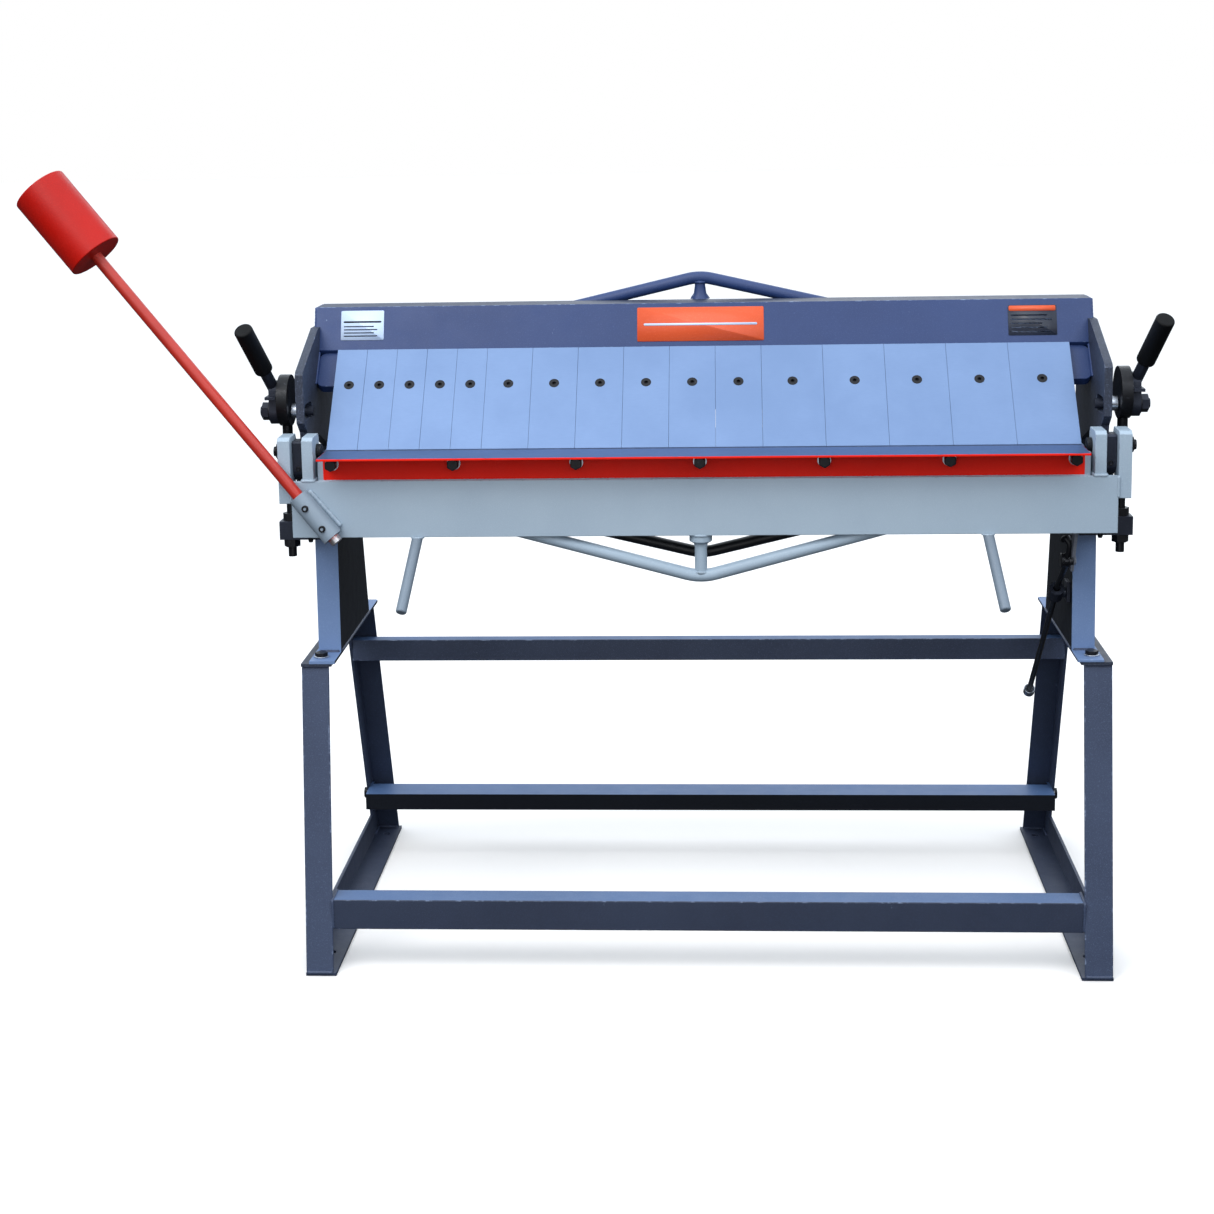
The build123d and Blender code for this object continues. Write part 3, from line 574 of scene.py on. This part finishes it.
truss("bed_truss", DARK, "frame", radius=10.0, half=608.5, slope=13.5,
      apex=(190, -215), post=(-16.5, 15), name="bed_truss_tube")
truss("beam_truss", BEAM, "clamp_beam", radius=10.5, half=642.0, slope=13.0,
      apex=(251.5, 256.5), post=(218, 17), name="beam_truss_tube")


def apron_truss(shape):
    """Bent tube under the apron with its post and collar."""
    half, back, low, rise = 538, -17.5, -209.5, 144.2
    line = rounded([at(-half, back, low + rise), at(0, back, low), at(half, back, low + rise)],
                   TRUSS_BEND)
    tube(shape, line, 10.5)
    lathe(shape, at(0, back, low), (0, 0, 1),
          [(0, 10), (50, 10), (57, 11.5), (60, 17), (61, 18.5), (71.5, 18.5)])
    bead(shape, ring_points(at(0, back, -200), (0, 0, 1), 9.5), 2.8, True)


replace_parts(build("apron_truss_tube", LIGHT_SKY_TINTED, "apron", apron_truss, 0.7), "apron_truss")


# ---- welds -----------------------------------------------------------------
# x of the stand's legs: inner face, inner side of the outer flange, outer face
LEG_IN, FLANGE_IN, LEG_OUT = 622, 661, 666
# x of the bent bed ends: inner and outer face of the web, and the flange's edge
WEB_IN, WEB_OUT, FLANGE_EDGE = 609, 616, 646


def mirrored_run(shape, side, points, radius):
    """Weld bead on one side of the machine, from points of the right side."""
    bead(shape, [stand_point(side * x, y, z) for x, y, z in points], radius)


def stand_welds(shape):
    """Welds of the legs on the foot and top rails, and of the front and high rear rails."""
    for side in (-1, 1):
        def run(points, radius=2.6):
            mirrored_run(shape, side, points, radius)
        run([(LEG_IN, -373, 5.5), (LEG_OUT, -373, 5.5)], 3.0)
        run([(LEG_IN, -366, 5.5), (FLANGE_IN, -366, 5.5), (FLANGE_IN, -327, 5.5)])
        run([(LEG_IN, 333, 5.5), (LEG_OUT, 333, 5.5)], 3.0)
        run([(LEG_IN, 326, 5.5), (FLANGE_IN, 326, 5.5), (FLANGE_IN, 287, 5.5)])
        run([(LEG_IN, -309.5, 515.5), (LEG_OUT, -309.5, 515.5)])
        run([(LEG_IN, -303, 515), (FLANGE_IN, -303, 515), (FLANGE_IN, -264, 515)])
        run([(LEG_IN, 129.5, 515.5), (LEG_OUT, 129.5, 515.5)])
        run([(LEG_IN - 1, -359, 77), (LEG_IN - 1, -359, 126), (LEG_IN - 1, -315, 128)])
        run([(FLANGE_IN + 1, 143, 407), (FLANGE_IN + 1, 126, 445)])
        run([(LEG_IN, 147, 406), (LEG_IN, 137, 446)], 2.2)


def bed_welds(shape):
    """Welds of the bed ends, the table on them, and the brackets on their outer faces."""
    for side in (-1, 1):
        def run(points, radius=2.4):
            mirrored_run(shape, side, points, radius)
        run([(612, -256.5, 526.5), (FLANGE_EDGE, -256.5, 526.5)], 2.8)
        run([(WEB_IN, -250, 527), (WEB_IN, 20, 527)])
        run([(WEB_OUT, -249, 527), (WEB_OUT, 20, 527)])
        run([(WEB_OUT, -249, 545), (WEB_OUT, -246, 700)], 2.0)
        web_in, web_out = side * WEB_IN, side * WEB_OUT
        bead(shape, [at(web_in, 20, -17), at(web_in, 208, -17)], 2.2)
        bead(shape, [at(web_out, 37, -70), at(web_out, 71, -70), at(web_out, 71, -19)], 2.4)
        bead(shape, [at(web_out, 48, -126), at(web_out, 76, -126), at(web_out, 76, -158)], 2.4)


def apron_welds(shape):
    """Welds of the lugs, pull handles and truss on the apron."""
    for side in (-1, 1):
        bead(shape, [at(side * 623.5, -10, -43.5), at(side * 623.5, -34.5, -43.5),
                     at(side * 643, -34.5, -43.5), at(side * 643, -10, -43.5)], 2.8)
        bead(shape, [at(side * 661.5, -34.5, -44), at(side * 661.5, -34.5, -80)], 2.8)
        bead(shape, [at(side * 661.5, -27, -137), at(side * 661.5, -10, -137)], 1.5)
        bead(shape, ring_points(at(side * 458, -32.5, -137.2), (0, 0, 1), 9.2), 2.0, True)
        bead(shape, [at(side * 537, -17.5, -64), at(side * 520, -17.5, -58)], 3.0)
    bead(shape, ring_points(at(0, -17.5, -137.5), (0, 0, 1), 18.5), 2.2, True)
    bead(shape, [at(-618, -28.5, -44.5), at(618, -28.5, -44.5)], 1.6)


def beam_welds(shape):
    """Welds of the clamp beam's panel and finger bar on its end plates."""
    for side in (-1, 1):
        bead(shape, [at(side * 642.5, 104, 95.5), at(side * 642.5, 148, 145)], 2.0)
        bead(shape, [at(side * 651, 152, 150), at(side * 651, 174, 216), at(side * 651, 238, 216)], 1.6)


build("stand_welds", SLATE, "frame", stand_welds)
build("bed_welds", SLATE, "frame", bed_welds)
build("apron_welds", LIGHT_SKY_TINTED, "apron", apron_welds)
build("beam_welds", BEAM, "clamp_beam", beam_welds)

# ---- socket of the counterweight arm ---------------------------------------
FRONT = Vector((0, -1, 0))
OUT = (FRONT - ARM_WAY * FRONT.dot(ARM_WAY)).normalized()
ACROSS = ARM_WAY.cross(OUT).normalized()
APRON_FACE = -37.5          # the socket's fillets lie on the apron's front face
SOCKET_SCREWS = (-27, 15.5)  # along the arm from the socket's middle


def socket_fillets(shape):
    for side in (-1, 1):
        line = []
        for along in (-43, 35):
            point = ARM_FOOT + ARM_WAY * along * MM + ACROSS * side * 15.5 * MM
            point.y = HINGE_Y + APRON_FACE * MM
            line.append(point)
        bead(shape, line, 4.2)


def socket_screws(shape):
    for along in SOCKET_SCREWS:
        socket_head(shape, ARM_FOOT + ARM_WAY * along * MM + OUT * 14 * MM, OUT, 5.6, 6.0, 5.0)


build("socket_fillets", LIGHT_SKY_TINTED, "apron", socket_fillets)
build("socket_screws", OXIDE, "apron", socket_screws)


# ---- washers, set screws and other small fittings ---------------------------
BAR_BOLTS, BAR_PITCH = 7, 198.2
SHAFT_BACK, SHAFT_UP = 54, 58.5


def foot_washers(shape):
    """Washers of the bed's bolts on the top rails, and of the bolts through the back legs."""
    thick, thin = [(0, 12.5), (1.8, 12.5), (2.2, 12.0)], [(0, 12.5), (1.6, 12.5), (2.0, 12.0)]
    for side in (-1, 1):
        for y in (-288, 90):
            lathe(shape, stand_point(side * 637, y, 526), (0, 0, 1), thick)
        lathe(shape, stand_point(side * 667, 263, 99), (side, 0, 0), thin)
        lathe(shape, stand_point(side * 657, 263, 99), (-side, 0, 0), thin)


def bar_washers(shape):
    """Washers of the bending bar's bolts."""
    for number in range(BAR_BOLTS):
        lathe(shape, at((number - BAR_BOLTS // 2) * BAR_PITCH, -27, -17), FRONT,
              [(0, 11.2), (1.4, 11.2), (1.8, 10.8)])


def ear_screws(shape):
    """Set screws and adjusting screws at the hinge blocks."""
    for side in (-1, 1):
        socket_head(shape, at(side * 652, -14, -27), (0, -1, 0), 4.2, 4.0, 4.0)
        socket_head(shape, at(side * 652, 32, -60), (0, -1, 0), 4.2, 4.0, 4.0)
        lathe(shape, at(side * 646, 30, -55), (0, 0, -1), [(0, 4.2), (100, 4.2), (103, 3.2)])
        lathe(shape, at(side * 646, 30, -64), (0, 0, -1), [(0, 7.5), (7, 7.5)], 6)


def shaft_spacer(side):
    """Spacer and washer on the clamp shaft of one side."""
    name = "right" if side > 0 else "left"

    def spacer(shape):
        lathe(shape, at(side * 658, SHAFT_BACK, SHAFT_UP), (side, 0, 0),
              [(0, 11.0), (1, 12.0), (15, 12.0), (16, 11.0)])

    def washer(shape):
        lathe(shape, at(side * 708, SHAFT_BACK, SHAFT_UP), (side, 0, 0),
              [(0, 16.5), (2.4, 16.5), (2.8, 16.0)])

    build(f"shaft_spacer_{name}", BRIGHT, f"{name}_handle", spacer, 0.3)
    build(f"shaft_washer_{name}", OXIDE, f"{name}_handle", washer, 0.3)


build("foot_washers", BRIGHT, "frame", foot_washers)
build("bar_washers", BRIGHT, "apron", bar_washers, 0.3)
build("ear_screws", OXIDE, "frame", ear_screws)
for side in (1, -1):
    shaft_spacer(side)


# ---- plain plates on the beam panel -----------------------------------------
PANEL_FOOT, PANEL_HEAD = at(0, 149.1, 147.4), at(0, 174, 218)
PANEL_UP = (PANEL_HEAD - PANEL_FOOT).normalized()
PANEL_OUT = Vector((1, 0, 0)).cross(PANEL_UP).normalized()
CORNER = 2                  # corner radius of the plates
PLATE_GAP = 0.02            # keeps a plate's back off the panel


def plate(name, finish, x0, x1, low, high, proud):
    """Thin plate with round corners on the front of the panel, sizes in millimetres."""
    def make(shape):
        left, right, bottom, top = x0 + CORNER, x1 - CORNER, low + CORNER, high - CORNER
        centres = ((right, top), (left, top), (left, bottom), (right, bottom))
        corners = []
        for start, (cx, cz) in enumerate(centres):
            for i in range(5):
                turn = (start + i / 4) * pi / 2
                corners.append((cx + CORNER * cos(turn), cz + CORNER * sin(turn)))
        loops = []
        for lift in (PLATE_GAP, proud):
            loops.append([shape.verts.new(PANEL_FOOT + Vector((x * MM, 0, 0)) + PANEL_UP * z * MM
                                          + PANEL_OUT * lift * MM) for x, z in corners])
        count = len(corners)
        for i in range(count):
            j = (i + 1) % count
            shape.faces.new((loops[0][i], loops[0][j], loops[1][j], loops[1][i]))
        shape.faces.new(loops[0][::-1])
        shape.faces.new(loops[1])
    build(name, finish, "clamp_beam", make)


plate("front_plate", SHEET_ORANGE, -105, 107, 9, 67.5, 0.8)
plate("front_plate_band", SHEET_WHITE, -94, 96, 36, 40, 0.95)
plate("left_plate", SHEET_WHITE, -607, -534, 17, 68, 0.7)
plate("left_plate_bar", SHEET_DARK, -603, -538, 47, 50, 0.85)
for row in range(4):
    foot = 23 + row * 5.5
    plate(f"left_plate_row_{row + 1}", SHEET_GREY, -602, -545 - 6 * (row % 2), foot, foot + 2, 0.85)
plate("right_plate", SHEET_DARK, 512, 592, 12.5, 64, 0.7)
plate("right_plate_head", SHEET_ORANGE, 513.5, 590.5, 54, 63, 0.85)
for row in range(5):
    foot, head = 18 + row * 7, 19.6 + row * 7
    plate(f"right_plate_row_{row + 1}", SHEET_GREY, 517, 584 - 8 * (row % 3), foot, head, 0.85)


# ---- bend-angle stop ---------------------------------------------------------
PIN, PIVOT = at(588, 20, -193), at(588, 100, -265)
ROD_WAY = (PIVOT - PIN).normalized()
ROD_TAIL, COLLAR_AT = 390, 366   # past the swivel block


def stop_rod(shape):
    """Bent rod: hooks on to the apron's bracket, then runs straight through the swivel block."""
    reach = (PIVOT - PIN).length
    hook = ((-4, -6, 34), (-2, -10, 40), (6, -14, 30), (3, -8, 0))
    line = [PIN + Vector(step) * MM for step in hook]
    line += [PIN + ROD_WAY * (reach + along * MM) for along in (-40, ROD_TAIL)]
    tube(shape, rounded(line, 12), 4.8)


def stop_collar(shape):
    """Collar near the rod's lower end."""
    lathe(shape, PIVOT + ROD_WAY * COLLAR_AT * MM, ROD_WAY, [(0, 9), (1.2, 10), (14.8, 10), (16, 9)])


def bracket_ribs(shape):
    """Cross ribs of the bracket that carries the stop rod."""
    low, high = node_box("stop_bracket")
    for number in range(9):
        up = high.z - 12 - number * 8
        lathe(shape, at(low.x - 0.4, high.y - 22, up), (0, 1, 0.12), [(0, 1.1), (18, 1.1)], 8)


def bracket_bolt(shape):
    """Clamp bolt of that bracket."""
    low = node_box("stop_bracket")[0]
    place = at(low.x, low.y + 14, low.z + 22)
    lathe(shape, place, (-1, 0, 0), [(0, 7), (6, 7), (7, 6)], 6)
    lathe(shape, place, (-1, 0, 0), [(0, 3.5), (13, 3.5), (14, 2.5)])


def stop_eye(shape):
    """Eye of the rod at the bracket."""
    lathe(shape, PIN - Vector((7, 0, 0)) * MM, (1, 0, 0),
          [(0, 10.5), (1.5, 12), (12.5, 12), (14, 10.5)])


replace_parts(build("stop_rod_bent", OXIDE, "stop_slider", stop_rod), "stop_rod")
build("stop_rod_collar", BRIGHT, "stop_slider", stop_collar, 0.5)
build("bracket_ribs", RIBBED, "apron", bracket_ribs)
build("bracket_bolt", OXIDE, "apron", bracket_bolt)
build("stop_rod_eye", OXIDE, "stop_slider", stop_eye, 0.6)


# ---- stage, light and camera -----------------------------------------------
def stage_floor():
    """Pale floor that fades into the white backdrop."""
    g = Graph("pale_floor")
    cloud = g.ramp(g.noise(0.8, 4, 0.5), 0.3, 0.7)
    g.join(g.mix(cloud, (0.97, 0.93, 0.9, 1), (0.96, 0.92, 0.89, 1)), g.shader.inputs["Base Color"])
    g.join(g.ramp(g.noise(5, 3, 0.5), 0.3, 0.7, 0.6, 0.75), g.shader.inputs["Roughness"])
    g.bump((g.noise(60, 3, 0.5), 0.04, 1.0))
    mesh = bpy.data.meshes.new("floor")
    size = 40
    corners = [(-size, -size, 0), (size, -size, 0), (size, size, 0), (-size, size, 0)]
    mesh.from_pydata(corners, [], [(0, 1, 2, 3)])
    floor = bpy.data.objects.new("floor", mesh)
    bpy.context.scene.collection.objects.link(floor)
    mesh.materials.append(g.material)
    floor.location.z = -0.5 * MM
    # it takes the shadow but throws no light up at the dark insides
    floor.visible_diffuse = False
    floor.visible_glossy = False


def area_light(name, place, aim, size, power, colour):
    """Square lamp at a place, turned towards aim."""
    light = bpy.data.lights.new(name, "AREA")
    light.shape = "SQUARE"
    light.size = size
    light.energy = power
    light.color = colour
    lamp = bpy.data.objects.new(name, light)
    bpy.context.scene.collection.objects.link(lamp)
    lamp.location = place
    lamp.rotation_euler = (Vector(aim) - Vector(place)).to_track_quat("-Z", "Y").to_euler()


def world(sky, low):
    """Bright sky above, dim surroundings below it, and a white backdrop behind the object."""
    scene_world = bpy.data.worlds.new("studio")
    scene_world.use_nodes = True
    tree = scene_world.node_tree
    tree.nodes.clear()
    seen = tree.nodes.new("ShaderNodeBackground")
    lit = tree.nodes.new("ShaderNodeBackground")
    seen.inputs["Color"].default_value = (1, 1, 1, 1)
    lit.inputs["Color"].default_value = (0.84, 0.92, 1.0, 1.0)
    split = tree.nodes.new("ShaderNodeSeparateXYZ")
    height = tree.nodes.new("ShaderNodeMapRange")
    tree.links.new(tree.nodes.new("ShaderNodeTexCoord").outputs["Generated"], split.inputs[0])
    tree.links.new(split.outputs["Z"], height.inputs["Value"])
    for socket, number in zip(RANGE_SOCKETS, (0.0, 0.3, low, sky)):
        height.inputs[socket].default_value = number
    tree.links.new(height.outputs[0], lit.inputs["Strength"])
    path = tree.nodes.new("ShaderNodeLightPath")
    mix = tree.nodes.new("ShaderNodeMixShader")
    output = tree.nodes.new("ShaderNodeOutputWorld")
    tree.links.new(path.outputs["Is Camera Ray"], mix.inputs[0])
    tree.links.new(lit.outputs[0], mix.inputs[1])
    tree.links.new(seen.outputs[0], mix.inputs[2])
    tree.links.new(mix.outputs[0], output.inputs[0])
    bpy.context.scene.world = scene_world


def camera():
    """Straight-on view, a little from above, with the lens dropped."""
    yaw, pitch, roll = radians(3.35), radians(8.88), radians(1.03)
    turn = (Matrix.Rotation(yaw, 3, "Z") @ Matrix.Rotation(-pitch, 3, "X")
            @ Matrix.Rotation(roll, 3, "Y"))
    right, ahead, up = turn.col
    data = bpy.data.cameras.new("camera")
    data.lens = 60.6
    data.sensor_width = 36
    data.shift_y = -0.15
    data.clip_end = 200
    view = bpy.data.objects.new("camera", data)
    bpy.context.scene.collection.objects.link(view)
    frame_turn = Matrix((right, up, -ahead)).transposed().to_4x4()
    view.matrix_world = Matrix.Translation((0.041, -3.575, 1.429)) @ frame_turn
    bpy.context.scene.camera = view


stage_floor()
world(sky=1.35, low=0.06)
area_light("top", (0.0, -0.9, 3.6), (0.0, 0.0, 0.6), 3.0, 22, (0.96, 0.98, 1.0))
area_light("key", (-1.7, -2.3, 3.3), (0.0, 0.0, 0.8), 1.8, 52, (1.0, 0.99, 0.97))
area_light("fill", (2.0, -2.3, 3.0), (0.0, 0.0, 0.8), 1.8, 22, (0.96, 0.98, 1.0))
area_light("front", (-0.2, -3.1, 0.75), (0.0, -0.3, 0.7), 2.0, 15, (0.98, 0.99, 1.0))
area_light("rim", (0.5, 3.4, 2.6), (0.0, 0.0, 0.6), 2.2, 14, (0.96, 0.98, 1.0))
camera()
bpy.context.scene.view_settings.view_transform = "Standard"
